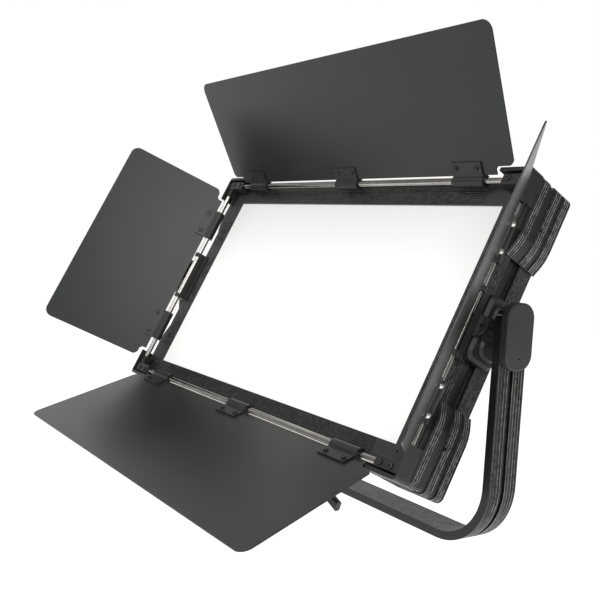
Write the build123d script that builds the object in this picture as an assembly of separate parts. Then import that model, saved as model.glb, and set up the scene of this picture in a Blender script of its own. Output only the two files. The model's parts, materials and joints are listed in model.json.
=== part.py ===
from build123d import *
import math
import os

# LED panel light with a stirrup yoke and a four-leaf barn door set.
# Row frame: millimetres, +Z up, X along the tilt axis, the light shines toward -Y.
# Origin: centre of the mouth of the 16 mm stand socket under the yoke.
# The head is drawn square in its own frame (origin on the tilt axis, X across,
# Z along the panel, front toward -Y) and is then leaned back by TILT.

# ---- driving dimensions --------------------------------------------------
OPEN_W, OPEN_H = 600.0, 300.0        # lit opening
RAIL_X, RAIL_Z = 332.0, 177.5        # outside half sizes of the rail frame
GUARD_X, GUARD_Z = 343.0, 188.5      # outside half sizes of the corner guards
BLOCK_Y = -35.5                      # front face of the rod blocks
FRONT_Y = -18.0                      # front plane of the frame
BAND_Y = -4.4                        # joint between front rail and body rail
RAIL_BACK_Y = 35.5                   # back of the rails
GUARD_BACK_Y = 38.5                  # back of the corner guards
RAIL_T = 9.0                        # body rail depth, outside to inside
TILT = 27.3                          # lean of the head at rest, degrees
PIVOT_Z = 297.0                      # tilt axis above the socket mouth
ARM_IN, ARM_T, ARM_W = 369.0, 10.0, 40.0   # yoke arm inner face, thickness, width
YOKE_R = 65.0                        # inside bend radius
SOCKET_H, SOCKET_R, SOCKET_BORE = 60.0, 17.0, 8.1
SOCKET_DEPTH = 52.0
ROD_X, ROD_Z, ROD_Y = 334.5, 176.0, -29.2  # hinge rod lines in the head frame
ROD_R, SLEEVE_R, CLIP_BORE = 4.0, 5.0, 4.05
CLIP_L = 50.0
LEAF_T = 1.6
TOP_L, BOTTOM_L, LEFT_L, RIGHT_L = 181.0, 193.0, 188.0, 174.0   # leaf lengths from the hinge line
TOP_OUT, TOP_IN, TOP_NECK = 330.0, 318.0, 289.0
SIDE_OUT, SIDE_IN, SIDE_NECK = 165.0, 160.0, 143.0
SHOULDER = 22.0
ANG_TOP, ANG_BOTTOM, ANG_LEFT, ANG_RIGHT = 51.4, 43.7, 57.0, 46.0
BOT_OUT, BOT_IN = 328.0, 311.0
TOP_CLIPS = (-243.0, 0.0, 243.0)
SIDE_CLIPS = (-97.0, 97.0)
HOUSE_X, HOUSE_Z0, HOUSE_Z1, HOUSE_Y = 165.0, -110.0, 95.0, 84.0

HEAD = Pos(0, 0, PIVOT_Z) * Rot(-TILT, 0, 0)

os.makedirs("parts", exist_ok=True)


def bx(x0, x1, y0, y1, z0, z1):
    return Pos((x0 + x1) / 2, (y0 + y1) / 2, (z0 + z1) / 2) * Box(x1 - x0, y1 - y0, z1 - z0)


def cx(r, x0, x1, y, z):
    return Pos((x0 + x1) / 2, y, z) * Rot(0, 90, 0) * Cylinder(r, x1 - x0)


def cy(r, y0, y1, x, z):
    return Pos(x, (y0 + y1) / 2, z) * Rot(90, 0, 0) * Cylinder(r, y1 - y0)


def cz(r, z0, z1, x, y):
    return Pos(x, y, (z0 + z1) / 2) * Cylinder(r, z1 - z0)


def solids_of(*shapes):
    out = []
    for s in shapes:
        out.extend(s.solids())
    return out


def save(name, *shapes, head=True):
    parts = solids_of(*shapes)
    if head:
        parts = [HEAD * p for p in parts]
    shape = parts[0] if len(parts) == 1 else Compound(children=parts)
    export_step(shape, "parts/%s.step" % name)


def ribbed(a, b, n, w, d, margin):
    """Points from a to b with n square grooves cut to the right of travel."""
    ax, ay = a
    bx_, by = b
    length = math.hypot(bx_ - ax, by - ay)
    ux, uy = (bx_ - ax) / length, (by - ay) / length
    nx, ny = uy, -ux
    pts = [a]
    pitch = (length - 2 * margin - w) / max(n - 1, 1)
    for i in range(n):
        s = margin + i * pitch
        for (t, k) in ((s, 0), (s, d), (s + w, d), (s + w, 0)):
            pts.append((ax + ux * t + nx * k, ay + uy * t + ny * k))
    pts.append(b)
    return pts


def face_on(plane, pts):
    return plane * make_face(Polyline(*pts, close=True))


# ---- yoke ----------------------------------------------------------------
ARM_OUT = ARM_IN + ARM_T
BAR_TOP = SOCKET_H + ARM_T
ARM_TOP = PIVOT_Z + 34.0
# section: u runs outward through the thickness, v along the width
hw = ARM_W / 2
sec = [(0, -hw)]
sec += ribbed((0, -hw), (0, hw), 9, 1.1, 0.7, 2.6)[1:]
sec += ribbed((ARM_T, hw), (ARM_T, 4.0), 4, 1.1, 0.7, 2.4)
sec += [(ARM_T, 2.6), (ARM_T - 3.6, 2.6), (ARM_T - 3.6, -2.6), (ARM_T, -2.6)]
sec += ribbed((ARM_T, -4.0), (ARM_T, -hw), 4, 1.1, 0.7, 2.4)


def yoke_section(plane):
    return face_on(plane, sec)


bend_x = ARM_IN - YOKE_R
bend_z = BAR_TOP + YOKE_R
arm_plane = Plane(origin=(ARM_IN, 0, bend_z), x_dir=(1, 0, 0), z_dir=(0, 0, 1))
arm_right = extrude(yoke_section(arm_plane), ARM_TOP - bend_z)
bar_plane = Plane(origin=(0, 0, BAR_TOP), x_dir=(0, 0, -1), z_dir=(1, 0, 0))
bar_half = extrude(yoke_section(bar_plane), bend_x)
bend_plane = Plane(origin=(ARM_IN, 0, bend_z), x_dir=(1, 0, 0), z_dir=(0, 0, 1))
bend = revolve(yoke_section(bend_plane), Axis((bend_x, 0, bend_z), (0, 1, 0)), 90)
if bend.bounding_box().max.Z > bend_z + 1:
    bend = revolve(yoke_section(bend_plane), Axis((bend_x, 0, bend_z), (0, 1, 0)), -90)
# the straight bar and the two arms with their bends
bar = bar_half + mirror(bar_half, Plane.YZ)
for (px, py) in ((18, 11), (-18, 11), (18, -11), (-18, -11)):
    bar = bar - cz(3.3, SOCKET_H - 1, BAR_TOP + 1, px, py)
    bar = bar - cz(5.7, BAR_TOP - 4.2, BAR_TOP + 1, px, py)
save("yoke_bar", bar, head=False)
arm = arm_right + bend
arm = arm - (bx(360, 390, -30, 30, ARM_TOP - 20, ARM_TOP + 1) - cx(hw - 0.01, 360, 390, 0, ARM_TOP - 20))
arm = arm - cx(5.2, 360, 390, 0, PIVOT_Z)
arm = arm - cx(1.9, 374, 390, 0, PIVOT_Z - 22)
save("yoke_arm_right", arm, head=False)
save("yoke_arm_left", mirror(arm, Plane.YZ), head=False)

# hollow plastic covers over the arm tops
CAP_X0, CAP_X1 = ARM_OUT + 0.1, ARM_OUT + 9.0


def stadium(width, length, r, x0, x1, zc):
    f = Plane(origin=(x0, 0, zc), x_dir=(0, 1, 0), z_dir=(1, 0, 0)) * RectangleRounded(width, length, r)
    return extrude(f, x1 - x0)


cap = stadium(40.0, 72.0, 17.0, CAP_X0, CAP_X1, PIVOT_Z + 1)
cap = fillet(cap.edges().filter_by(lambda e: abs(e.center().X - CAP_X1) < 0.2), 2.2)
cap = cap - stadium(35.0, 67.0, 14.5, CAP_X0 - 1, CAP_X1 - 2.6, PIVOT_Z + 1)
cap = cap + (cx(4.2, CAP_X0, CAP_X1 - 1, 0, PIVOT_Z - 22))
cap_plain = cap - cx(2.0, CAP_X0 - 1, CAP_X1 + 1, 0, PIVOT_Z - 22) - cx(3.7, CAP_X1 - 2.4, CAP_X1 + 1, 0, PIVOT_Z - 22)
cap_left = mirror(cap_plain, Plane.YZ) - cx(13.5, -CAP_X1 - 1, -CAP_X0 + 1, 0, PIVOT_Z)
save("yoke_cap_right", cap_plain, head=False)
save("yoke_cap_left", cap_left, head=False)
screws = []
for s in (1, -1):
    a = cx(3.4, CAP_X1 - 2.3, CAP_X1 - 0.2, 0, PIVOT_Z - 22) + cx(1.85, ARM_OUT - 4.6, CAP_X1 - 2.3, 0, PIVOT_Z - 22)
    hexcut = Pos(CAP_X1 - 1.7, 0, PIVOT_Z - 22) * Rot(0, 90, 0) * extrude(RegularPolygon(1.7, 6), 3)
    a = a - hexcut
    screws.append(a if s > 0 else mirror(a, Plane.YZ))
save("yoke_cap_screws", *screws, head=False)

# 16 mm stand socket bolted under the bar
sock = cz(SOCKET_R, 0, SOCKET_H - 6, 0, 0) + bx(-28, 28, -18.5, 18.5, SOCKET_H - 6, SOCKET_H - 0.02)
sock = sock + cy(9.0, 12, 24, 0, 29)
sock = sock - cz(SOCKET_BORE, -1, SOCKET_DEPTH, 0, 0)
sock = sock - cy(4.06, 0, 30, 0, 29)
for (px, py) in ((18, 11), (-18, 11), (18, -11), (-18, -11)):
    sock = sock - cz(3.3, SOCKET_H - 8, SOCKET_H + 1, px, py)
    sock = sock - cz(5.9, SOCKET_H - 12, SOCKET_H - 6, px, py)
sock = fillet(sock.edges().filter_by(lambda e: abs(e.center().Z) < 0.1 and e.length > 90), 1.2)
save("stand_socket", sock, head=False)
bolts = []
for (px, py) in ((18, 11), (-18, 11), (18, -11), (-18, -11)):
    b = cz(5.4, BAR_TOP - 4.1, BAR_TOP - 0.4, px, py) + cz(3.0, SOCKET_H - 7.5, BAR_TOP - 4.0, px, py)
    b = b - Pos(px, py, BAR_TOP - 2.8) * extrude(RegularPolygon(2.9, 6), 4)
    bolts.append(b)
save("socket_bolts", *bolts, head=False)

# clamp screw of the socket: stud and bent lever
save("socket_clamp_stud", cy(4.0, 9.2, 38, 0, 29), head=False)
lever = cy(9.5, 26, 44, 0, 29)
lever = fillet(lever.edges().filter_by(lambda e: abs(e.center().Y - 44) < 0.1), 2.5)
hand = Plane(origin=(0, 35.5, 29), x_dir=(0, 0, 1), z_dir=(1, 0, 0)) * RectangleRounded(13.0, 11.0, 3.5)
tip = Plane(origin=(46, 38.5, 26), x_dir=(0, 0, 1), z_dir=(1, 0, 0)) * RectangleRounded(16.0, 9.0, 3.5)
hand = Pos(0, 0, 29) * Rot(0, 22, 0) * Pos(0, 0, -29) * loft([hand, tip])
lever = lever + hand
lever = lever - cy(4.02, 25, 38.05, 0, 29)
save("socket_clamp_knob", lever, head=False)

# pivot bolts: headed on the right, a stud for the tilt knob on the left
PB_IN = 347.0
bolt_r = cx(5.0, PB_IN, ARM_OUT + 0.5, 0, PIVOT_Z) + cx(8.5, ARM_OUT + 0.12, ARM_OUT + 5.4, 0, PIVOT_Z)
bolt_r = bolt_r - Pos(ARM_OUT + 2.4, 0, PIVOT_Z) * Rot(0, 90, 0) * extrude(RegularPolygon(4.6, 6), 5)
bolt_l = cx(5.0, -ARM_OUT - 30, -PB_IN, 0, PIVOT_Z)
save("pivot_bolts", bolt_r, bolt_l, head=False)
wash = []
for s in (1, -1):
    a, b = sorted((s * 366.15, s * 368.95))
    w = cx(16.5, a, b, 0, PIVOT_Z) - cx(5.25, a - 1, b + 1, 0, PIVOT_Z)
    wash.append(w)
save("friction_washers", *wash, head=False)

# tilt clamp knob, left arm
TK0, TK1 = -ARM_OUT - 32.0, -ARM_OUT - 12.0
tk = cx(25.0, TK0, TK1, 0, PIVOT_Z)
tk = fillet(tk.edges().filter_by(GeomType.CIRCLE), 3.0)
for i in range(8):
    a = math.radians(45 * i)
    tk = tk - cx(5.5, TK0 - 1, TK1 + 1, 28.0 * math.cos(a), PIVOT_Z + 28.0 * math.sin(a))
tk = tk + cx(12.5, TK1 - 1, -ARM_OUT - 0.6, 0, PIVOT_Z)
tk = tk - cx(5.05, -ARM_OUT - 30.5, -ARM_OUT, 0, PIVOT_Z)
save("tilt_knob", tk, head=False)

# ---- head frame ----------------------------------------------------------
# front rails: face toward -Y with fine grooves, lip over the diffuser
PL = 32.0                            # corner plate leg beyond the opening corner
ox, oz = OPEN_W / 2, OPEN_H / 2


# section plane helpers: map (p, q) so that p goes outward and q goes back (+Y)
def rail_h(sign, pts, x0, x1, base):
    pl = [(0, FRONT_Y + q, sign * (base + p)) for (p, q) in pts]
    w = [Vector(x0, y, z) for (_, y, z) in pl]
    f = make_face(Polyline(*w, close=True))
    return extrude(f, x1 - x0, dir=(1, 0, 0))


def rail_v(sign, pts, z0, z1, base):
    w = [Vector(sign * (base + p), FRONT_Y + q, z0) for (p, q) in pts]
    f = make_face(Polyline(*w, close=True))
    return extrude(f, z1 - z0, dir=(0, 0, 1))


def front_pts(width, n):
    pts = []
    pitch = (width - 6.0 - 1.0) / (n - 1)
    pts.append((0, 0))
    for i in range(n):
        s = 3.0 + i * pitch
        pts += [(s, 0), (s, 0.6), (s + 1.0, 0.6), (s + 1.0, 0)]
    pts.append((width, 0))
    for i in range(3):
        s = 2.4 + i * 3.9
        pts += [(width, s), (width - 0.6, s), (width - 0.6, s + 1.0), (width, s + 1.0)]
    pts += [(width, 13.5), (16, 13.5), (16, 2.6), (0, 2.6)]
    return pts


WX, WZ = RAIL_X - ox, RAIL_Z - oz
fx, fz = front_pts(WX, 8), front_pts(WZ, 7)
LX, LZ = ox - PL, oz - PL            # rail half lengths between the corner plates
save("front_rail_top", rail_h(1, fz, -LX, LX, oz))
save("front_rail_bottom", rail_h(-1, fz, -LX, LX, oz))
save("front_rail_left", rail_v(-1, fx, -LZ, LZ, ox))
save("front_rail_right", rail_v(1, fx, -LZ, LZ, ox))

# front corner plates: L-shaped castings with the diffuser rebate
PLATE_SCREWS = ((309.0, 157.0),)
BLOCK_SCREWS = ((307.8, 176.0), (325.5, 176.0))     # clamp the rod ends


def corner_plate():
    out = bx(LX + 0.1, RAIL_X - 0.1, FRONT_Y, BAND_Y, LZ + 0.1, RAIL_Z - 0.1)
    e = out.edges().filter_by(Axis.Y)
    e = [k for k in e if k.center().X > 330 and k.center().Z > 170]
    out = fillet(e, 7.5)
    out = out - bx(LX - 1, ox, FRONT_Y - 1, BAND_Y + 1, LZ - 1, oz)
    out = out - bx(LX - 1, ox + 16, FRONT_Y + 2.6, BAND_Y + 1, LZ - 1, oz + 16)
    for (sx, sz) in PLATE_SCREWS:
        out = out - cy(1.7, FRONT_Y - 1, FRONT_Y + 12, sx, sz)
    return out


def four(shape):
    a = mirror(shape, Plane.YZ)
    return [shape, a, mirror(shape, Plane.XY), mirror(a, Plane.XY)]


cp = corner_plate()
save("corner_plates", *four(cp))
scr = []
for (sx, sz) in PLATE_SCREWS:
    s = cy(3.6, FRONT_Y - 1.9, FRONT_Y - 0.02, sx, sz)
    s = fillet(s.edges().filter_by(lambda e: abs(e.center().Y - (FRONT_Y - 1.9)) < 0.05), 0.9)
    s = s + cy(1.6, FRONT_Y - 0.1, FRONT_Y + 2.2, sx, sz)
    s = s - Pos(sx, FRONT_Y - 0.9, sz) * Rot(90, 0, 0) * extrude(RegularPolygon(1.5, 6), 3)
    scr += four(s)
for (sx, sz) in BLOCK_SCREWS:
    s = cy(3.6, BLOCK_Y - 1.9, BLOCK_Y - 0.02, sx, sz)
    s = fillet(s.edges().filter_by(lambda e: abs(e.center().Y - (BLOCK_Y - 1.9)) < 0.05), 0.9)
    s = s - Pos(sx, BLOCK_Y - 0.9, sz) * Rot(90, 0, 0) * extrude(RegularPolygon(1.5, 6), 3)
    scr += four(s)
head_screws = list(scr)

# diffuser
DIFF_Y0, DIFF_Y1 = FRONT_Y + 2.7, FRONT_Y + 5.7
save("diffuser", bx(-ox - 15.5, ox + 15.5, DIFF_Y0, DIFF_Y1, -oz - 15.5, oz + 15.5))

# body rails: recessed channel between two bands


def body_pts():
    """(p, y) with p = 0 on the outside face."""
    pts = [(0, BAND_Y), (-5.0, BAND_Y + 0.8), (-5.0, 13.2), (0, 14.0)]
    for i in range(5):
        s = 16.6 + i * 3.6
        pts += [(0, s), (-0.7, s), (-0.7, s + 1.1), (0, s + 1.1)]
    pts += [(0, RAIL_BACK_Y), (-20, RAIL_BACK_Y), (-20, 32.9), (-RAIL_T, 32.9), (-RAIL_T, BAND_Y)]
    return pts


def body_h(sign, x0, x1):
    w = [Vector(x0, y, sign * (RAIL_Z + p)) for (p, y) in body_pts()]
    return extrude(make_face(Polyline(*w, close=True)), x1 - x0, dir=(1, 0, 0))


def body_v(sign, z0, z1):
    w = [Vector(sign * (RAIL_X + p), y, z0) for (p, y) in body_pts()]
    return extrude(make_face(Polyline(*w, close=True)), z1 - z0, dir=(0, 0, 1))


RV = RAIL_Z - 20.2
RH = RAIL_X - RAIL_T - 0.2
save("body_rail_top", body_h(1, -RH, RH))
save("body_rail_bottom", body_h(-1, -RH, RH))
rails = {}
for nm, s in (("left", -1), ("right", 1)):
    r = body_v(s, -RV, RV)
    a, b = sorted((s * (RAIL_X - 13), s * (RAIL_X + 2)))
    r = r - cx(6.5, a, b, 0, 0)
    save("body_rail_" + nm, r)

# corner guards: ribbed wraps that stand proud of the rails
G_T = GUARD_X - RAIL_X - 0.15
G_LEG = 69.5
G_R = 8.0
# slabs through the depth: (from, to, step down from the outside face)
SLABS = []


def slabs():
    y = FRONT_Y + 1.0
    out = []
    for y0 in (-12.6, -9.4, -6.2, 10.6, 13.8, 17.0, 27.4, 30.4, 33.4):
        if y0 == 10.6:
            out += [(y, -2.6, 0.0), (-2.6, 7.8, 1.5)]
            y = 7.8
        if y0 == 27.4:
            out += [(y, 20.6, 0.0), (20.6, 24.8, 1.5)]
            y = 24.8
        out += [(y, y0, 0.0), (y0, y0 + 1.1, 0.8)]
        y = y0 + 1.1
    out.append((y, GUARD_BACK_Y - 1.6, 0.0))
    out.append((GUARD_BACK_Y - 1.6, GUARD_BACK_Y, 1.4))
    return out


SLABS = slabs()


def guard():
    g = None
    for (y0, y1, d) in SLABS:
        back = RAIL_BACK_Y + 0.15
        runs = [(y0, min(y1, back), G_T)] if y0 < back - 0.01 else []
        if y1 > back:
            runs.append((max(y0, back), y1, 22.0))
        for (p0, p1, t) in runs:
            w = [Vector(GUARD_X - d, p0, GUARD_Z - G_LEG), Vector(GUARD_X - d, p0, GUARD_Z - d),
                 Vector(GUARD_X - G_LEG, p0, GUARD_Z - d), Vector(GUARD_X - G_LEG, p0, GUARD_Z - t),
                 Vector(GUARD_X - t, p0, GUARD_Z - t), Vector(GUARD_X - t, p0, GUARD_Z - G_LEG)]
            k = extrude(make_face(Polyline(*w, close=True)), p1 - p0, dir=(0, 1, 0))
            e = [q for q in k.edges().filter_by(Axis.Y)
                 if q.center().X > GUARD_X - d - 0.05 and q.center().Z > GUARD_Z - d - 0.05]
            k = fillet(e, G_R - d)
            g = k if g is None else g + k
    g = g - cx(2.6, GUARD_X - 6, GUARD_X + 1, 9.2, 134.0)
    g = g - cz(2.6, GUARD_Z - 6, GUARD_Z + 1, 289.0, 9.2)
    return g


g = guard()
gl = mirror(g, Plane.YZ)
save("corner_guard_top_right", g)
save("corner_guard_top_left", gl)
save("corner_guard_bottom_right", mirror(g, Plane.XY))
save("corner_guard_bottom_left", mirror(gl, Plane.XY))


# end clips: curve down from the guard to the rail
CLIP_LEG = 29.0


def clip_side(drop, in_):
    """Side shape: u along the rail from the guard, v outward from the rail face."""
    top = GUARD_X - RAIL_X - 0.3
    pts = []
    for i in range(11):
        t = i / 10.0
        u = CLIP_LEG * t
        v = top - drop - (top - 1.8) * (1 - math.cos(math.radians(78 * t))) / (1 - math.cos(math.radians(78)))
        pts.append((u, max(v, 0.9)))
    return [(0, in_)] + pts + [(CLIP_LEG, in_)]


def end_clip():
    z1 = GUARD_Z - G_LEG - 0.3
    x1 = GUARD_X - G_LEG - 0.3
    a = b = None
    for (y0, y1, d) in SLABS:
        in_ = 0.12 if y1 < RAIL_BACK_Y + 0.2 else -11.0
        runs = [(y0, y1, 0.12)]
        if y1 > RAIL_BACK_Y + 0.2:
            cut = max(y0, RAIL_BACK_Y + 0.15)
            runs = ([(y0, cut, 0.12)] if cut > y0 + 0.01 else []) + [(cut, y1, -11.0)]
        for (p0, p1, i_) in runs:
            side = clip_side(d, i_)
            w = [Vector(RAIL_X + v, p0, z1 - u) for (u, v) in side]
            k = extrude(make_face(Polyline(*w, close=True)), p1 - p0, dir=(0, 1, 0))
            a = k if a is None else a + k
            w = [Vector(x1 - u, p0, RAIL_Z + v) for (u, v) in side]
            k = extrude(make_face(Polyline(*w, close=True)), p1 - p0, dir=(0, 1, 0))
            b = k if b is None else b + k
    return a, b


ea, eb = end_clip()
save("guard_end_clips", *(four(ea) + four(eb)))
gs = []
a = cx(2.5, GUARD_X - 5.7, GUARD_X - 2.6, 9.2, 134.0) - Pos(GUARD_X - 3.8, 9.2, 134.0) * Rot(0, 90, 0) * extrude(RegularPolygon(1.4, 6), 3)
b = cz(2.5, GUARD_Z - 5.7, GUARD_Z - 2.6, 289.0, 9.2) - Pos(289.0, 9.2, GUARD_Z - 3.8) * extrude(RegularPolygon(1.4, 6), 3)
head_screws += four(a) + four(b)

# ---- inside the head -----------------------------------------------------
board = bx(-308, 308, 10.2, 12.0, -158, 158)
chips = []
for i in range(12):
    for j in range(6):
        px, pz = -275 + i * 50, -125 + j * 50
        chips.append(bx(px - 3, px + 3, 9.0, 10.15, pz - 3, pz + 3))
# the tray floor is pierced by each lamp die
tray = bx(-316, 316, DIFF_Y1 + 0.2, 10, -166, 166) - bx(-314, 314, DIFF_Y1 - 1, 8.4, -164, 164)
holes = [bx(-275 + i * 50 - 4, -275 + i * 50 + 4, 8, 11, -125 + j * 50 - 4, -125 + j * 50 + 4)
         for i in range(12) for j in range(6)]
tray = tray - holes
save("light_tray", tray)
save("led_board", board)
save("led_chips", *chips)

# heat sinks behind the board, fins reach out through the rear cover
sinks = []
for s in (1, -1):
    a, b = sorted((s * 172.0, s * 304.0))
    h = bx(a, b, 12.2, 17.0, -150, 150)
    for k in range(14):
        fx0 = a + 4 + k * (132.0 - 8 - 2.4) / 13
        h = h + bx(fx0, fx0 + 2.4, 16.9, 52.0, -140, 140)
    sinks.append(h)
save("heat_sinks", *sinks)

# rear cover with two fin windows and the middle opening for the wiring
cover = bx(-322.4, 322.4, 29.2, 32.8, -168.0, 168.0)
for s in (1, -1):
    a, b = sorted((s * 171.0, s * 305.0))
    cover = cover - bx(a, b, 28, 34, -142, 142)
cover = cover - bx(-60, 60, 28, 34, -40, 40)
save("rear_cover", cover)
scr = []
for (px, pz) in [(x, z) for x in (-308, -164, 164, 308) for z in (-150, 150)]:
    s = cy(3.2, 32.85, 34.7, px, pz)
    s = fillet(s.edges().filter_by(lambda e: abs(e.center().Y - 34.7) < 0.05), 0.8)
    s = s - Pos(px, 33.8, pz) * Rot(-90, 0, 0) * extrude(RegularPolygon(1.4, 6), 3)
    scr.append(s)
for (px, pz) in [(x, z) for x in (-152, 152) for z in (-100, 85)]:
    s = cy(3.2, HOUSE_Y + 0.05, HOUSE_Y + 1.9, px, pz)
    s = fillet(s.edges().filter_by(lambda e: abs(e.center().Y - (HOUSE_Y + 1.9)) < 0.05), 0.8)
    s = s - Pos(px, HOUSE_Y + 1.0, pz) * Rot(-90, 0, 0) * extrude(RegularPolygon(1.4, 6), 3)
    scr.append(s)
save("head_screws", *(head_screws + scr))

# electronics housing: open box against the rear cover, controls in its back face
house = bx(-HOUSE_X, HOUSE_X, 32.9, HOUSE_Y, HOUSE_Z0, HOUSE_Z1)
e = [k for k in house.edges().filter_by(Axis.Y)]
house = fillet(e, 12.0)
e = house.edges().filter_by(lambda k: abs(k.center().Y - HOUSE_Y) < 0.1)
house = fillet(e, 2.5)
inner = bx(-HOUSE_X + 3, HOUSE_X - 3, 32.7, HOUSE_Y - 3, HOUSE_Z0 + 3, HOUSE_Z1 - 3)
inner = fillet([k for k in inner.edges().filter_by(Axis.Y)], 9.0)
house = house - inner
PANEL = (-120.0, 120.0, 8.0, 78.0)
house = house - bx(PANEL[0] + 3, PANEL[1] - 3, HOUSE_Y - 4, HOUSE_Y + 1, PANEL[2] + 3, PANEL[3] - 3)
SW, INLET, DATA = (118.0, -50.0), (58.0, -50.0), (-118.0, -74.0)
house = house - bx(SW[0] - 7.2, SW[0] + 7.2, HOUSE_Y - 4, HOUSE_Y + 1, SW[1] - 11.2, SW[1] + 11.2)
house = house - bx(INLET[0] - 14.2, INLET[0] + 14.2, HOUSE_Y - 4, HOUSE_Y + 1, INLET[1] - 11.2, INLET[1] + 11.2)
for dx in (-88.0, -38.0):
    house = house - cy(12.2, HOUSE_Y - 4, HOUSE_Y + 1, dx, -50.0)
vents = []
for k in range(9):
    for s in (1, -1):
        a, b = sorted((s * (HOUSE_X - 5), s * (HOUSE_X + 1)))
        vents.append(bx(a, b, 42, 74, -88 + k * 20, -84 + k * 20))
house = house - vents
save("rear_housing", house)

# control panel
panel = bx(PANEL[0], PANEL[1], HOUSE_Y + 0.1, HOUSE_Y + 2.1, PANEL[2], PANEL[3])
panel = fillet(panel.edges().filter_by(Axis.Y), 4.0)
DISP = (-46.0, 46.0, 26.0, 68.0)
panel = panel - bx(DISP[0] - 0.2, DISP[1] + 0.2, HOUSE_Y - 1, HOUSE_Y + 3, DISP[2] - 0.2, DISP[3] + 0.2)
ENC = ((-84.0, 47.0), (84.0, 47.0))
BUT = ((-22.0, 17.0), (22.0, 17.0))
for (px, pz) in ENC:
    panel = panel - cy(3.2, HOUSE_Y - 1, HOUSE_Y + 3, px, pz)
for (px, pz) in BUT:
    panel = panel - bx(px - 7.3, px + 7.3, HOUSE_Y - 1, HOUSE_Y + 3, pz - 3.8, pz + 3.8)
save("control_panel", panel)
save("display_window", bx(DISP[0], DISP[1], HOUSE_Y - 0.6, HOUSE_Y + 2.4, DISP[2], DISP[3]))
for nm, (px, pz) in zip(("left", "right"), ENC):
    k = cy(15.0, HOUSE_Y + 2.8, HOUSE_Y + 16.0, px, pz)
    k = fillet(k.edges().filter_by(lambda e: abs(e.center().Y - (HOUSE_Y + 16)) < 0.05), 1.2)
    for i in range(18):
        a = math.radians(20 * i)
        k = k - cy(0.8, HOUSE_Y + 4.0, HOUSE_Y + 17, px + 15.2 * math.cos(a), pz + 15.2 * math.sin(a))
    k = k - bx(px - 0.8, px + 0.8, HOUSE_Y + 15.4, HOUSE_Y + 17, pz + 5, pz + 12)
    k = k + cy(3.1, HOUSE_Y - 2.0, HOUSE_Y + 3.0, px, pz)
    save("encoder_" + nm, k)
for nm, (px, pz) in zip(("left", "right"), BUT):
    b = bx(px - 7.0, px + 7.0, HOUSE_Y - 0.8, HOUSE_Y + 3.8, pz - 3.5, pz + 3.5)
    b = fillet(b.edges().filter_by(lambda e: abs(e.center().Y - (HOUSE_Y + 3.8)) < 0.05), 0.8)
    save("button_" + nm, b)

# power rocker in its bezel
bez = bx(SW[0] - 9.5, SW[0] + 9.5, HOUSE_Y + 0.05, HOUSE_Y + 1.9, SW[1] - 14, SW[1] + 14)
bez = bez + bx(SW[0] - 7.0, SW[0] + 7.0, HOUSE_Y - 12, HOUSE_Y + 0.5, SW[1] - 11, SW[1] + 11)
bez = bez - bx(SW[0] - 6.0, SW[0] + 6.0, HOUSE_Y - 10, HOUSE_Y + 3, SW[1] - 10, SW[1] + 10)
save("switch_bezel", bez)
w = [Vector(SW[0] - 5.7, HOUSE_Y - 3.0, SW[1] - 8.6), Vector(SW[0] - 5.7, HOUSE_Y - 3.0, SW[1] + 8.6),
     Vector(SW[0] - 5.7, HOUSE_Y + 3.6, SW[1] + 9.0), Vector(SW[0] - 5.7, HOUSE_Y + 1.4, SW[1]),
     Vector(SW[0] - 5.7, HOUSE_Y + 3.6, SW[1] - 9.0)]
rock = extrude(make_face(Polyline(*w, close=True)), 11.4, dir=(1, 0, 0))
save("power_rocker", rock)

# three-pin power inlet, no cord
inl = bx(INLET[0] - 17, INLET[0] + 17, HOUSE_Y + 0.05, HOUSE_Y + 2.4, INLET[1] - 14, INLET[1] + 14)
inl = fillet(inl.edges().filter_by(Axis.Y), 3.0)
inl = inl + bx(INLET[0] - 14, INLET[0] + 14, HOUSE_Y - 20, HOUSE_Y + 0.5, INLET[1] - 11, INLET[1] + 11)
cav = bx(INLET[0] - 12.2, INLET[0] + 12.2, HOUSE_Y - 16, HOUSE_Y + 3, INLET[1] - 8.2, INLET[1] + 8.2)
cav = chamfer([k for k in cav.edges().filter_by(Axis.Y) if k.center().Z > INLET[1]], 5.0)
inl = inl - cav
save("power_inlet", inl)
pins = [bx(INLET[0] + dx - 1.0, INLET[0] + dx + 1.0, HOUSE_Y - 15.9, HOUSE_Y - 1.0, INLET[1] + dz - 2.0, INLET[1] + dz + 2.0)
        for (dx, dz) in ((-7.0, -2.0), (7.0, -2.0), (0.0, 2.5))]
save("inlet_pins", *pins)

# two round five-pin data sockets
ds = []
for dx in (-88.0, -38.0):
    d = bx(dx - 13, dx + 13, HOUSE_Y + 0.05, HOUSE_Y + 2.3, -65.5, -34.5)
    d = fillet(d.edges().filter_by(Axis.Y), 2.5)
    d = d + cy(12.0, HOUSE_Y - 18, HOUSE_Y + 0.5, dx, -50.0)
    d = d - cy(9.6, HOUSE_Y - 15, HOUSE_Y + 3, dx, -50.0)
    for i in range(5):
        a = math.radians(-60 + 60 * i - 90 - 60)
        d = d + cy(1.0, HOUSE_Y - 15.5, HOUSE_Y - 4, dx + 5.2 * math.cos(a), -50.0 + 5.2 * math.sin(a))
    ds.append(d)
save("data_sockets", *ds)

# electronics in the housing
psu = bx(-20, 140, 33.5, 60.0, 2, 86)
save("power_supply", psu)
drv = bx(-150, -30, 35.0, 36.6, -28, 86)
comps = bx(-140, -118, 36.6, 48, 40, 74) + bx(-104, -80, 36.6, 45, 46, 70)
comps = comps + cy(7, 36.5, 51, -62, 62) + cy(7, 36.5, 51, -44, 62) + bx(-130, -70, 36.6, 41, -10, 10)
save("driver_board", drv + comps)

# ---- pivot plates on the side rails --------------------------------------


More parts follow.
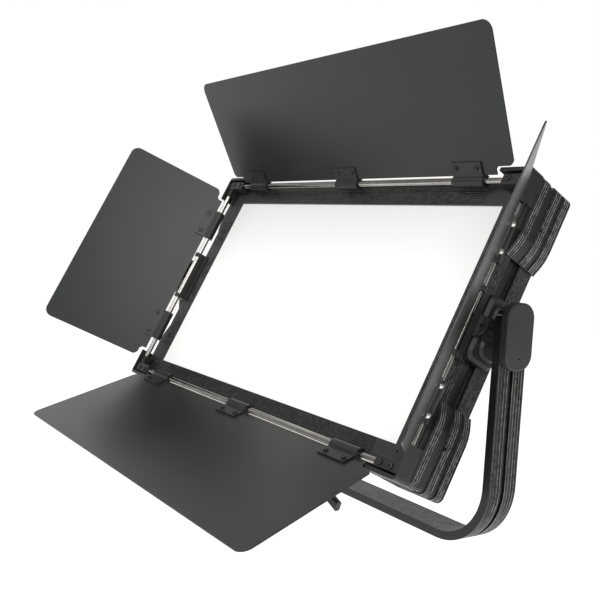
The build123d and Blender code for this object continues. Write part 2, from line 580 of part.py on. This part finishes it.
def pivot_plate():
    x0 = RAIL_X + 0.1
    f = bx(x0, x0 + 12.0, -16.3, 27.5, -36.5, 41.0)
    f = fillet([k for k in f.edges().filter_by(Axis.X)], 9.0)
    f = chamfer([k for k in f.edges() if abs(k.center().X - (x0 + 12.0)) < 0.05], 3.6)
    up = bx(x0 + 10, x0 + 19.0, -10.0, 22.0, -30.0, 34.0)
    up = fillet([k for k in up.edges().filter_by(Axis.X)], 12.0)
    up = chamfer([k for k in up.edges() if abs(k.center().X - (x0 + 19.0)) < 0.05], 3.0)
    f = f + up + cx(16.5, x0 + 15, 366.0, 0, 0)
    for i in range(12):
        a = math.radians(30 * i)
        f = f - cx(1.5, x0 + 20.5, 364.0, 16.6 * math.cos(a), 16.6 * math.sin(a))
    f = f - cx(5.06, RAIL_X - 1, 367, 0, 0)
    return f


p = pivot_plate()
save("pivot_plates", p, mirror(p, Plane.YZ))

# ---- barn door frame -----------------------------------------------------
BR_Y = -38.0


def bracket():
    """Corner fitting: L-shaped rim, inner block, foot."""
    x1, z1 = GUARD_X, GUARD_Z
    rim = bx(x1 - 51, x1, BR_Y, FRONT_Y - 0.05, z1 - 41.5, z1)
    rim = fillet([k for k in rim.edges().filter_by(Axis.Y) if k.center().X > x1 - 1 and k.center().Z > z1 - 1], 6.0)
    rim = rim - bx(x1 - 52, x1 - 2.6, BR_Y - 1, FRONT_Y + 1, z1 - 42.5, z1 - 4.4)
    blk = bx(298.5, x1 - 4.6, BLOCK_Y, FRONT_Y - 0.05, z1 - 20.5, z1 - 6.6)
    blk = fillet([k for k in blk.edges() if abs(k.center().Y - BLOCK_Y) < 0.05], 1.2)
    low = bx(x1 - 17.0, x1 - 4.6, BLOCK_Y + 1.6, FRONT_Y - 0.05, z1 - 33.0, z1 - 20.0)
    web = bx(x1 - 44.0, x1 - 2.0, FRONT_Y - 3.0, FRONT_Y - 0.05, z1 - 20.5, z1 - 2.0)
    web = web + bx(x1 - 17.0, x1 - 2.0, FRONT_Y - 3.0, FRONT_Y - 0.05, z1 - 33.0, z1 - 2.0)
    b = rim + blk + low + web
    b = b - cx(ROD_R, x1 - 60, x1 - 15.0, ROD_Y, ROD_Z) - cz(ROD_R, z1 - 40.0, z1 - 15.0, ROD_X, ROD_Y)
    return b


br = bracket()
save("door_corner_brackets", *four(br))

# side middle brackets hold the side rods
mids = []
for s in (1, -1):
    m = bx(RAIL_X - 14.0, 339.5, ROD_Y + 2.2, FRONT_Y - 0.05, -42, 42)
    m = m - bx(RAIL_X - 15.0, RAIL_X - 5.0, ROD_Y + 1.0, FRONT_Y - 3.2, -50, 50)
    m = m + bx(330, 344, FRONT_Y - 3.2, FRONT_Y - 0.05, -13, 13)
    m = m + cy(12.0, FRONT_Y - 3.2, FRONT_Y - 0.05, 344.0, 0)
    for (a, b) in ((-42.0, -35.5), (35.5, 42.0)):
        m = m + cz(6.4, a, b, ROD_X, ROD_Y)
    m = m - cz(ROD_R, -50, 50, ROD_X, ROD_Y) - cz(4.6, -35.4, 35.4, ROD_X, ROD_Y)
    m = m - cy(2.0, FRONT_Y - 14, FRONT_Y + 4, 349.0, 0)
    mids.append(m if s > 0 else mirror(m, Plane.YZ))
save("door_mid_brackets", *mids)

# hinge rods: thin where the clips turn, sleeved between them
rods = []
for s in (1, -1):
    r = cx(ROD_R - 0.02, -GUARD_X + 15.3, GUARD_X - 15.3, ROD_Y, s * ROD_Z)
    for (a, b) in ((-214, -29), (29, 214)):
        r = r + cx(SLEEVE_R, a, b, ROD_Y, s * ROD_Z)
    rods.append(r)
    v = Pos(s * ROD_X, ROD_Y, 0) * Cylinder(ROD_R - 0.02, 2 * (GUARD_Z - 15.3))
    rods.append(v)
save("door_rods", *rods)


# ---- leaves --------------------------------------------------------------
def leaf(out, shoulder, neck, length, clips):
    """Local frame: X along the hinge, Z away from it, inner face toward -Y."""
    pts = [(-neck, 7.4), (neck, 7.4), (neck, 14.0), (neck + 4, 17.5), (shoulder - 6, 17.5), (shoulder, SHOULDER),
           (out, length), (-out, length), (-shoulder, SHOULDER), (-shoulder + 6, 17.5), (-neck - 4, 17.5), (-neck, 14.0)]
    w = [Vector(x, -LEAF_T / 2, z) for (x, z) in pts]
    f = extrude(make_face(Polyline(*w, close=True)), LEAF_T, dir=(0, 1, 0))
    e = [k for k in f.edges().filter_by(Axis.Y) if k.center().Z > length - 1]
    f = fillet(e, 13.0)
    e = [k for k in f.edges().filter_by(Axis.Y) if abs(k.center().Z - SHOULDER) < 0.05]
    f = fillet(e, 6.0)
    e = [k for k in f.edges().filter_by(Axis.Y) if 13.9 < k.center().Z < 17.6 and abs(k.center().X) > neck - 0.1]
    f = fillet(e, 3.4)
    for c in clips:
        for dx in (-17.0, 17.0):
            f = f - cy(1.7, -3, 3, c + dx, 17.6)
    return f


def clip(c):
    k = cx(7.6, c - CLIP_L / 2, c + CLIP_L / 2, 0, 0)
    k = k + bx(c - CLIP_L / 2, c + CLIP_L / 2, -2.9, 2.9, 0, 24.5)
    k = k - cx(CLIP_BORE, c - 40, c + 40, 0, 0)
    k = k - bx(c - 40, c + 40, -LEAF_T / 2 - 0.03, LEAF_T / 2 + 0.03, 7.2, 30)
    for dx in (-17.0, 17.0):
        k = k - cy(1.7, -6, 6, c + dx, 17.6)
    out = []
    for dx in (-17.0, 17.0):
        s = cy(3.4, -4.9, -2.92, c + dx, 17.6)
        s = fillet(s.edges().filter_by(lambda e: abs(e.center().Y + 4.9) < 0.05), 0.9)
        s = s + cy(1.6, -3.0, 3.0, c + dx, 17.6)
        s = s + cy(3.1, 2.93, 5.0, c + dx, 17.6)
        s = s - Pos(c + dx, -3.9, 17.6) * Rot(90, 0, 0) * extrude(RegularPolygon(1.5, 6), 3)
        out.append(s)
    return k, out


LEAVES = {
    "top": (Pos(0, ROD_Y, ROD_Z) * Rot(ANG_TOP, 0, 0), True),
    "bottom": (Pos(0, ROD_Y, -ROD_Z) * Rot(-ANG_BOTTOM, 0, 0) * Rot(0, 180, 0), True),
    "right": (Pos(ROD_X, ROD_Y, 0) * Rot(0, 0, -ANG_RIGHT) * Rot(0, 90, 0), False),
    "left": (Pos(-ROD_X, ROD_Y, 0) * Rot(0, 0, ANG_LEFT) * Rot(0, -90, 0), False),
}
for nm, (loc, wide) in LEAVES.items():
    if nm == "top":
        lf = leaf(TOP_OUT, TOP_IN, TOP_NECK, TOP_L, TOP_CLIPS)
        cl = TOP_CLIPS
    elif nm == "bottom":
        lf = leaf(BOT_OUT, BOT_IN, TOP_NECK, BOTTOM_L, TOP_CLIPS)
        cl = TOP_CLIPS
    else:
        lf = leaf(SIDE_OUT, SIDE_IN, SIDE_NECK, LEFT_L if nm == "left" else RIGHT_L, SIDE_CLIPS)
        cl = SIDE_CLIPS
    ks, ss = [], []
    for c in cl:
        k, s = clip(c)
        ks.append(loc * k)
        ss += [loc * q for q in s]
    save("leaf_" + nm, loc * lf)
    save("leaf_%s_clips" % nm, *(ks + ss))
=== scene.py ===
import bpy
import bmesh
import json
import math
from mathutils import Matrix, Vector


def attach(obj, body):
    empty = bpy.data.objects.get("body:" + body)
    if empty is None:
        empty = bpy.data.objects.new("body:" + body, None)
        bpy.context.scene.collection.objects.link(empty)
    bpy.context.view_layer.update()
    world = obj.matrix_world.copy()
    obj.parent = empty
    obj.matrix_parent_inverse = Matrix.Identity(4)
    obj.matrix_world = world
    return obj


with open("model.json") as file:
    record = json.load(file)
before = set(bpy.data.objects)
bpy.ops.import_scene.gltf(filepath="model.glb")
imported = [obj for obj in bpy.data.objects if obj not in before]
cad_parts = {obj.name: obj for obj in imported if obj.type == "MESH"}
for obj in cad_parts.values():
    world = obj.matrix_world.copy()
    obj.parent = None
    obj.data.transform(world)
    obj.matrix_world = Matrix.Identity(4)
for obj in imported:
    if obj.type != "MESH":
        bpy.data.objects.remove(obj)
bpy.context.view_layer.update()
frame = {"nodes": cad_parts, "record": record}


nodes = frame["nodes"]
scene = bpy.context.scene

TILT = math.radians(27.3)
C, S = math.cos(TILT), math.sin(TILT)


def head_point(x, y, z):
    """A point of the square head frame (mm) in the row frame (m)."""
    return Vector((x, y * C + z * S, 297.0 - y * S + z * C)) / 1000.0


# ---------------------------------------------------------------- materials
class Mat:
    """Small builder around one Principled material."""

    def __init__(self, name):
        m = bpy.data.materials.new(name)
        m.use_nodes = True
        self.m = m
        self.t = m.node_tree
        self.t.nodes.clear()
        self.out = self.t.nodes.new("ShaderNodeOutputMaterial")
        self.b = self.t.nodes.new("ShaderNodeBsdfPrincipled")
        self.t.links.new(self.b.outputs[0], self.out.inputs[0])
        self.co = self.t.nodes.new("ShaderNodeTexCoord").outputs["Object"]

    def n(self, kind, **kw):
        node = self.t.nodes.new(kind)
        for k, v in kw.items():
            setattr(node, k, v)
        return node

    def link(self, a, b):
        self.t.links.new(a, b)

    def mapped(self, scale=(1, 1, 1), rot=(0, 0, 0), loc=(0, 0, 0)):
        mp = self.n("ShaderNodeMapping")
        mp.inputs["Scale"].default_value = scale
        mp.inputs["Rotation"].default_value = rot
        mp.inputs["Location"].default_value = loc
        self.link(self.co, mp.inputs["Vector"])
        return mp.outputs[0]

    def noise(self, scale, detail=3.0, rough=0.5, vec=None, distortion=0.0):
        nz = self.n("ShaderNodeTexNoise")
        nz.inputs["Scale"].default_value = scale
        nz.inputs["Detail"].default_value = detail
        nz.inputs["Roughness"].default_value = rough
        nz.inputs["Distortion"].default_value = distortion
        self.link(vec or self.co, nz.inputs["Vector"])
        return nz.outputs["Fac"]

    def span(self, fac, lo, hi, a=0.0, b=1.0):
        mr = self.n("ShaderNodeMapRange")
        mr.inputs["From Min"].default_value = a
        mr.inputs["From Max"].default_value = b
        mr.inputs["To Min"].default_value = lo
        mr.inputs["To Max"].default_value = hi
        self.link(fac, mr.inputs["Value"])
        return mr.outputs[0]

    def math(self, op, a, b):
        mt = self.n("ShaderNodeMath", operation=op)
        for i, v in enumerate((a, b)):
            if isinstance(v, (int, float)):
                mt.inputs[i].default_value = v
            else:
                self.link(v, mt.inputs[i])
        return mt.outputs[0]

    def mix(self, fac, a, b):
        mx = self.n("ShaderNodeMix", data_type="RGBA")
        self.link(fac, mx.inputs["Factor"])
        for sock, v in ((mx.inputs[6], a), (mx.inputs[7], b)):
            if isinstance(v, (tuple, list)):
                sock.default_value = (v[0], v[1], v[2], 1.0)
            else:
                self.link(v, sock)
        return mx.outputs[2]

    def edges(self, radius, lo=0.02, hi=0.22):
        """0 on flats, toward 1 on edges, which get abrasion and painted highlight; also returns the rounded normal."""
        bv = self.n("ShaderNodeBevel", samples=6)
        bv.inputs["Radius"].default_value = radius
        geo = self.n("ShaderNodeNewGeometry")
        dot = self.n("ShaderNodeVectorMath", operation="DOT_PRODUCT")
        self.link(bv.outputs[0], dot.inputs[0])
        self.link(geo.outputs["Normal"], dot.inputs[1])
        inv = self.math("SUBTRACT", 1.0, dot.outputs["Value"])
        return self.span(inv, 0.0, 1.0, lo, hi), bv.outputs[0]

    def bump(self, height, strength, distance, normal=None):
        bp = self.n("ShaderNodeBump")
        bp.inputs["Strength"].default_value = strength
        bp.inputs["Distance"].default_value = distance
        self.link(height, bp.inputs["Height"])
        if normal is not None:
            self.link(normal, bp.inputs["Normal"])
        return bp.outputs[0]

    def put(self, **kw):
        for k, v in kw.items():
            sock = self.b.inputs[k.replace("_", " ")]
            if isinstance(v, (int, float)):
                sock.default_value = v
            elif isinstance(v, (tuple, list)):
                sock.default_value = (v[0], v[1], v[2], 1.0) if len(v) == 3 else v
            else:
                self.link(v, sock)
        return self.m


def coat(name, dark, light, edge_wear_sheen_tone, rough, grain, grain_depth, metallic=0.0, edge=0.0006,
         edge_wear_sheen=0.35, streak=None, cloud=9.0, spec=0.5,
         highlight_stripes=None, highlight_tone=(0.5, 0.5, 0.49)):
    """Painted, anodised or moulded surface: cloudy tone, fine grain, lighter edges that are part abrasion, part
    painted highlight, and optional painted highlight stripes.
    """
    k = Mat(name)
    cl = k.noise(cloud, 4.0, 0.6)
    fine = k.noise(grain, 2.0, 0.6)
    if streak is not None:
        vec = k.mapped(scale=streak)
        st = k.noise(1.0, 3.0, 0.65, vec=vec)
        tone = k.math("MULTIPLY_ADD", st, 0.55)
        mt = tone.node
        k.link(k.math("MULTIPLY", cl, 0.45), mt.inputs[2])
    else:
        tone = cl
    tone = k.span(tone, 0.0, 1.0, 0.3, 0.7)
    col = k.mix(tone, dark, light)
    # lighter tone on the edges: partly abrasion, partly painted highlight standing in for light caught by rib edges
    e, nrm = k.edges(edge)
    scuff_sheen_noise = k.noise(140.0, 3.0, 0.7)
    edge_wear_sheen_f = k.math("MULTIPLY", e, k.span(scuff_sheen_noise, 0.0, edge_wear_sheen, 0.40, 0.62))
    col = k.mix(edge_wear_sheen_f, col, edge_wear_sheen_tone)
    # optional painted highlight stripes along the ribs, standing in for grazing reflections
    if highlight_stripes is not None:
        col = k.mix(k.math("MULTIPLY", highlight_stripes(k), k.span(scuff_sheen_noise, 0.25, 1.0, 0.35, 0.60)), col, highlight_tone)
    rg = k.span(k.math("ADD", k.math("MULTIPLY", fine, 0.5), k.math("MULTIPLY", cl, 0.5)),
                rough[0], rough[1], 0.3, 0.7)
    h = fine
    if streak is not None:
        h = k.math("ADD", k.math("MULTIPLY", fine, 0.6), k.math("MULTIPLY", tone, 0.4))
    nb = k.bump(h, 0.35, grain_depth, nrm)
    return k.put(Base_Color=col, Roughness=rg, Metallic=metallic, Normal=nb, Specular_IOR_Level=spec)


def guard_painted_highlights(k):
    """Painted highlights along the rib edges of the corner guards, in three groups."""
    sp = k.n("ShaderNodeSeparateXYZ")
    k.link(k.mapped(rot=(TILT, 0, 0), loc=(0, 0.297 * S, 0)), sp.inputs[0])
    fac = k.span(sp.outputs[1], 0.0, 1.0, -0.025, 0.045)
    ramp = k.n("ShaderNodeValToRGB")
    cr = ramp.color_ramp
    cr.interpolation = "CONSTANT"
    cr.elements[0].color = (0, 0, 0, 1)
    cr.elements[1].position = 0.999
    cr.elements[1].color = (0, 0, 0, 1)
    for y0 in (-12.6, -9.4, -6.2, 10.6, 13.8, 17.0, 27.4, 30.4, 33.4):
        e = cr.elements.new((y0 - 0.75 + 25.0) / 70.0)
        e.color = (1, 1, 1, 1)
        e = cr.elements.new((y0 + 25.0) / 70.0)
        e.color = (0, 0, 0, 1)
    k.link(fac, ramp.inputs["Fac"])
    return ramp.outputs["Color"]


def yoke_painted_highlights(k):
    """Painted highlights along the fine grooves of the yoke bar."""
    sp = k.n("ShaderNodeSeparateXYZ")
    k.link(k.co, sp.inputs[0])
    wave = k.math("PINGPONG", k.math("ADD", sp.outputs[1], 0.059825), 0.00210625)
    inside = k.math("LESS_THAN", k.math("ABSOLUTE", sp.outputs[1], 0.0), 0.0193)
    return k.math("MULTIPLY", k.span(wave, 1.0, 0.0, 0.00025, 0.00045), inside)


M = {}
# guards, ribbed bodies and yoke: the stripes are painted highlight; the bright edge tone is part abrasion, part
# painted highlight
M["guard_extrusion"] = coat("guard_extrusion", (0.012, 0.013, 0.013), (0.022, 0.023, 0.024), (0.28, 0.28, 0.275),
                            (0.26, 0.38), 1400.0, 0.00005, metallic=0.35, edge=0.0006, edge_wear_sheen=0.6, spec=0.55,
                            highlight_stripes=guard_painted_highlights, highlight_tone=(0.52, 0.52, 0.51))
M["ribbed_extrusion"] = coat("anodised_extrusion", (0.012, 0.013, 0.013), (0.022, 0.023, 0.024), (0.28, 0.28, 0.275),
                             (0.28, 0.40), 1400.0, 0.00006, metallic=0.35, edge=0.0007, edge_wear_sheen=0.85, streak=(9.0, 420.0, 420.0), spec=0.55)
M["yoke_extrusion"] = coat("yoke_extrusion", (0.008, 0.008, 0.0077), (0.013, 0.0128, 0.012), (0.28, 0.28, 0.27),
                           (0.30, 0.42), 1200.0, 0.00004, metallic=0.30, edge=0.0005, edge_wear_sheen=0.6, spec=0.45,
                           highlight_stripes=yoke_painted_highlights, highlight_tone=(0.30, 0.295, 0.285))
M["dark_casting"] = coat("cast_powder_coat", (0.014, 0.015, 0.015), (0.026, 0.027, 0.027), (0.14, 0.14, 0.14),
                         (0.42, 0.58), 900.0, 0.00012, edge_wear_sheen=0.30)
M["leaf_paint"] = coat("leaf_satin_paint", (0.019, 0.022, 0.0195), (0.027, 0.031, 0.0275), (0.20, 0.21, 0.20),
                       (0.26, 0.36), 700.0, 0.00005, edge_wear_sheen=0.45, cloud=5.0, spec=0.30)
M["bracket_metal"] = coat("bracket_satin_black", (0.014, 0.014, 0.014), (0.026, 0.026, 0.026), (0.24, 0.24, 0.23),
                          (0.32, 0.46), 900.0, 0.00008, metallic=0.2, edge_wear_sheen=0.5)
M["moulded_plastic"] = coat("moulded_plastic", (0.020, 0.021, 0.019), (0.033, 0.034, 0.031), (0.09, 0.09, 0.085),
                            (0.42, 0.56), 1700.0, 0.00014, edge_wear_sheen=0.25, cloud=14.0, spec=0.45)
M["black_screw"] = coat("black_oxide_screw", (0.045, 0.045, 0.045), (0.10, 0.10, 0.10), (0.42, 0.42, 0.41),
                        (0.22, 0.38), 1800.0, 0.00005, metallic=0.85, edge_wear_sheen=0.7, edge=0.0003)
M["bare_heat_sink"] = coat("heat_sink_anodised", (0.014, 0.014, 0.015), (0.028, 0.028, 0.03), (0.18, 0.18, 0.18),
                           (0.34, 0.50), 1100.0, 0.00006, metallic=0.4, edge_wear_sheen=0.3, streak=(300.0, 300.0, 14.0))
M["white_tray"] = coat("tray_white", (0.72, 0.72, 0.70), (0.82, 0.82, 0.80), (0.9, 0.9, 0.9), (0.5, 0.65), 900.0, 0.0001)
M["board"] = coat("solder_mask", (0.62, 0.64, 0.62), (0.72, 0.74, 0.72), (0.8, 0.8, 0.8), (0.3, 0.4), 900.0, 0.00004)
M["led_die"] = coat("led_phosphor", (0.85, 0.70, 0.25), (0.95, 0.82, 0.40), (0.95, 0.9, 0.7), (0.2, 0.3), 900.0, 0.00003)
M["sheet_cover"] = coat("wrinkle_powder_coat", (0.015, 0.016, 0.016), (0.028, 0.029, 0.029), (0.16, 0.16, 0.16),
                        (0.48, 0.64), 520.0, 0.00030, edge_wear_sheen=0.35)
M["washer_polymer"] = coat("friction_washer", (0.05, 0.05, 0.048), (0.09, 0.09, 0.085), (0.2, 0.2, 0.2), (0.4, 0.55), 1500.0, 0.00006)
M["supply_case"] = coat("supply_case", (0.04, 0.04, 0.04), (0.08, 0.08, 0.08), (0.2, 0.2, 0.2), (0.4, 0.55), 900.0, 0.0001)


def steel(name, lo, hi, rough, streak):
    k = Mat(name)
    st = k.noise(1.0, 3.0, 0.7, vec=k.mapped(scale=streak))
    cl = k.noise(22.0, 3.0, 0.6)
    tone = k.span(k.math("ADD", k.math("MULTIPLY", st, 0.6), k.math("MULTIPLY", cl, 0.4)), 0, 1, 0.3, 0.7)
    col = k.mix(tone, lo, hi)
    e, nrm = k.edges(0.0004)
    rg = k.span(st, rough[0], rough[1], 0.3, 0.7)
    return k.put(Base_Color=col, Roughness=rg, Metallic=1.0, Normal=k.bump(st, 0.12, 0.00004, nrm))


# rod steel is kept darker than bare steel: painted shade for the dark surroundings the rods reflect
M["steel_rod"] = steel("polished_steel", (0.30, 0.285, 0.265), (0.50, 0.48, 0.45), (0.10, 0.22), (60.0, 60.0, 60.0))
M["nickel"] = steel("bright_nickel", (0.66, 0.64, 0.60), (0.84, 0.82, 0.78), (0.10, 0.22), (300.0, 300.0, 300.0))
M["contact_brass"] = steel("contact_brass", (0.60, 0.46, 0.20), (0.78, 0.62, 0.32), (0.18, 0.3), (400.0, 400.0, 400.0))

# lit opal sheet: bright in the middle, a little weaker toward the edges and most at the top; this fall-off is painted
# shade of the frame and top leaf, put into the emission
k = Mat("opal_diffuser")
sx = k.n("ShaderNodeSeparateXYZ")
k.link(k.mapped(rot=(TILT, 0, 0)), sx.inputs[0])
fine = k.noise(1800.0, 2.0, 0.6)
ax = k.math("ABSOLUTE", sx.outputs[0], 0.0)
# painted shade of the frame lip along the sides, top and bottom of the sheet
painted_shade_x = k.span(ax, 1.0, 0.90, 0.235, 0.302)
zc = 0.297 * C
up = k.math("SUBTRACT", sx.outputs[2], zc)
painted_shade_top = k.span(up, 1.0, 0.66, 0.02, 0.150)
painted_shade_bottom = k.span(up, 0.93, 1.0, -0.150, -0.10)
glow_with_painted_shade = k.math("MULTIPLY", k.math("MULTIPLY", painted_shade_x, painted_shade_top), painted_shade_bottom)
cloudy = k.span(k.noise(3.0, 2.0, 0.5), 0.98, 1.02, 0.3, 0.7)
glow_with_painted_shade = k.math("MULTIPLY", glow_with_painted_shade, cloudy)
M["opal_diffuser"] = k.put(Base_Color=k.mix(fine, (0.34, 0.345, 0.34), (0.38, 0.385, 0.38)),
                           Roughness=k.span(fine, 0.42, 0.55), Emission_Color=(1.0, 1.0, 0.985),
                           Emission_Strength=k.math("MULTIPLY", glow_with_painted_shade, 0.78),
                           Normal=k.bump(fine, 0.2, 0.00006))

k = Mat("display_window")
sm = k.noise(30.0, 4.0, 0.6)
M["display"] = k.put(Base_Color=k.mix(sm, (0.006, 0.007, 0.009), (0.012, 0.013, 0.016)),
                     Roughness=k.span(sm, 0.05, 0.16, 0.3, 0.7), Coat_Weight=0.5, Coat_Roughness=0.06,
                     Normal=k.bump(sm, 0.05, 0.0002))

slot_of = {s["node"]: s["material_slot"] for s in frame["record"]["subparts"]}
for name, obj in nodes.items():
    key = slot_of[name]
    if name.startswith("yoke_bar") or name.startswith("yoke_arm"):
        key = "yoke_extrusion"
    if name.startswith("corner_guard") or name == "guard_end_clips":
        key = "guard_extrusion"
    obj.data.materials.clear()
    obj.data.materials.append(M[key])

# ---------------------------------------------------------------- domed nuts
# Each clip screw ends in a bright domed nut on the outside of its leaf.
ROD = {"top": ((0, -29.2, 176.0), 51.4), "bottom": ((0, -29.2, -176.0), 43.7),
       "left": ((-334.5, -29.2, 0), 57.0), "right": ((334.5, -29.2, 0), 46.0)}
LONG, SHORT = (-243.0, 0.0, 243.0), (-97.0, 97.0)


def head_vec(v):
    x, y, z = v
    return Vector((x, y * C + z * S, -y * S + z * C))


def leaf_axes(which):
    """Along the hinge, away from it, and out of the leaf's back face."""
    b = math.radians(ROD[which][1])
    cb, sb = math.cos(b), math.sin(b)
    if which == "top":
        return (1, 0, 0), (0, -sb, cb), (0, cb, sb)
    if which == "bottom":
        return (1, 0, 0), (0, -sb, -cb), (0, cb, -sb)
    if which == "right":
        return (0, 0, 1), (cb, -sb, 0), (sb, cb, 0)
    return (0, 0, 1), (-cb, -sb, 0), (-sb, cb, 0)


def lathe(name, profile, n=28):
    """Turned shape around local Z from (radius, height) pairs."""
    bm = bmesh.new()
    rings = []
    for r, h in profile:
        if r == 0:
            rings.append([bm.verts.new((0, 0, h))])
        else:
            rings.append([bm.verts.new((r * math.cos(2 * math.pi * i / n), r * math.sin(2 * math.pi * i / n), h))
                          for i in range(n)])
    for a, b in zip(rings, rings[1:]):
        for i in range(n):
            j = (i + 1) % n
            if len(a) == 1:
                bm.faces.new((a[0], b[i], b[j]))
            elif len(b) == 1:
                bm.faces.new((a[i], b[0], a[j]))
            else:
                bm.faces.new((a[i], b[i], b[j], a[j]))
    bmesh.ops.recalc_face_normals(bm, faces=bm.faces)
    me = bpy.data.meshes.new(name)
    bm.to_mesh(me)
    bm.free()
    for p in me.polygons:
        p.use_smooth = True
    return me


NUT = [(0, 0), (3.5, 0), (3.9, 0.25), (3.9, 0.75), (3.35, 1.0), (3.30, 1.9), (3.05, 2.55), (2.5, 3.15), (1.7, 3.6),
       (0.85, 3.85), (0, 3.92)]


def join(name, meshes):
    """One mesh from (mesh, matrix) pairs."""
    bm = bmesh.new()
    for me, mat in meshes:
        part = bmesh.new()
        part.from_mesh(me)
        part.transform(mat)
        tmp = bpy.data.meshes.new("tmp")
        part.to_mesh(tmp)
        part.free()
        bm.from_mesh(tmp)
        bpy.data.meshes.remove(tmp)
    out = bpy.data.meshes.new(name)
    bm.to_mesh(out)
    bm.free()
    for p in out.polygons:
        p.use_smooth = True
    return out


def frame_at(p, x, z):
    """Matrix with local Z along z and X near x, placed at the head point p (mm)."""
    zv = head_vec(z).normalized()
    xv = head_vec(x).normalized()
    yv = zv.cross(xv).normalized()
    xv = yv.cross(zv)
    mt = Matrix((xv, yv, zv)).transposed().to_4x4()
    mt.translation = head_point(*p)
    return mt @ Matrix.Scale(0.001, 4)


for which, (org, _) in ROD.items():
    along, away, back = leaf_axes(which)
    spots = []
    for c in (LONG if which in ("top", "bottom") else SHORT):
        for d in (-17.0, 17.0):
            p = [org[i] + along[i] * (c + d) + away[i] * 17.6 + back[i] * 2.92 for i in range(3)]
            spots.append((lathe("nut", NUT), frame_at(p, along, back)))
    me = join("clip_nuts_" + which, spots)
    piece = bpy.data.objects.new("clip_nuts_" + which, me)
    scene.collection.objects.link(piece)
    piece.data.materials.append(M["nickel"])
    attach(piece, which + "_leaf")

# ---------------------------------------------------------------- stage
def plane(name, sx_, sy_, loc, rot=(0, 0, 0)):
    me = bpy.data.meshes.new(name)
    me.from_pydata([(-sx_, -sy_, 0), (sx_, -sy_, 0), (sx_, sy_, 0), (-sx_, sy_, 0)], [], [(0, 1, 2, 3)])
    o = bpy.data.objects.new(name, me)
    o.location = loc
    o.rotation_euler = rot
    scene.collection.objects.link(o)
    return o


k = Mat("floor_paint")
fl = k.noise(2.0, 4.0, 0.6)
floor_mat = k.put(Base_Color=k.mix(fl, (0.88, 0.88, 0.88), (0.91, 0.91, 0.91)), Roughness=k.span(fl, 0.7, 0.85),
                  Emission_Color=(1.0, 1.0, 1.0), Emission_Strength=0.75, Specular_IOR_Level=0.1)
floor = plane("floor", 12, 12, (0, 0, -1.15))
floor.data.materials.append(floor_mat)

# white cyclorama behind the light, a darker room on the side it shines toward
world = bpy.data.worlds.new("studio")
world.use_nodes = True
wt = world.node_tree
bg = wt.nodes["Background"]
tc = wt.nodes.new("ShaderNodeTexCoord")
dot = wt.nodes.new("ShaderNodeVectorMath")
dot.operation = "DOT_PRODUCT"
wt.links.new(tc.outputs["Generated"], dot.inputs[0])
dot.inputs[1].default_value = Vector((-0.83, 0.556, -0.02)).normalized()
ramp = wt.nodes.new("ShaderNodeMapRange")
ramp.interpolation_type = "SMOOTHSTEP"
ramp.inputs["From Min"].default_value = 0.30
ramp.inputs["From Max"].default_value = 0.80
ramp.inputs["To Min"].default_value = 0.27
ramp.inputs["To Max"].default_value = 1.0
wt.links.new(dot.outputs["Value"], ramp.inputs["Value"])
wt.links.new(ramp.outputs[0], bg.inputs["Strength"])
bg.inputs["Color"].default_value = (1, 1, 1, 1)
scene.world = world


def area(name, loc, target, sx_, sy_, power, color=(1, 1, 1)):
    d = bpy.data.lights.new(name, "AREA")
    d.shape = "RECTANGLE"
    d.size, d.size_y = sx_, sy_
    d.energy = power
    d.color = color
    o = bpy.data.objects.new(name, d)
    o.location = loc
    q = (Vector(target) - Vector(loc)).to_track_quat("-Z", "Y")
    o.rotation_euler = q.to_euler()
    scene.collection.objects.link(o)
    return o


area("key", (-1.2, -2.6, 2.4), (0, 0, 0.3), 1.6, 1.2, 26)
area("fill", (2.15, -1.35, 1.8), (-0.3, 0, 0.3), 1.4, 1.4, 34)
area("top_box", (0.3, 0.1, 2.6), (0, 0, 0.3), 1.6, 1.2, 6)

# ---------------------------------------------------------------- camera
cam_data = bpy.data.cameras.new("camera")
cam_data.sensor_width = 36.0
cam_data.lens = 871.14 / 600.0 * 36.0
cam = bpy.data.objects.new("camera", cam_data)
scene.collection.objects.link(cam)
R = ((0.5534983711526147, 0.4313145227953396, -0.7124656732483543),
     (0.09571968371027445, -0.8827302050549002, -0.46002731140024555),
     (-0.8273314301305175, 0.18642737864799233, -0.5298750203667186))


def head_dir(v):
    x, y, z = v
    return Vector((x, -z * C + y * S, z * S + y * C))


right, down, ahead = (head_dir(r).normalized() for r in R)
eye = head_point(1008.585, -(645.972 + 18.0), -233.158)
m = Matrix((right, -down, -ahead)).transposed().to_4x4()
m.translation = eye
cam.matrix_world = m
scene.camera = cam
scene.view_settings.view_transform = "Standard"
scene.view_settings.look = "None"
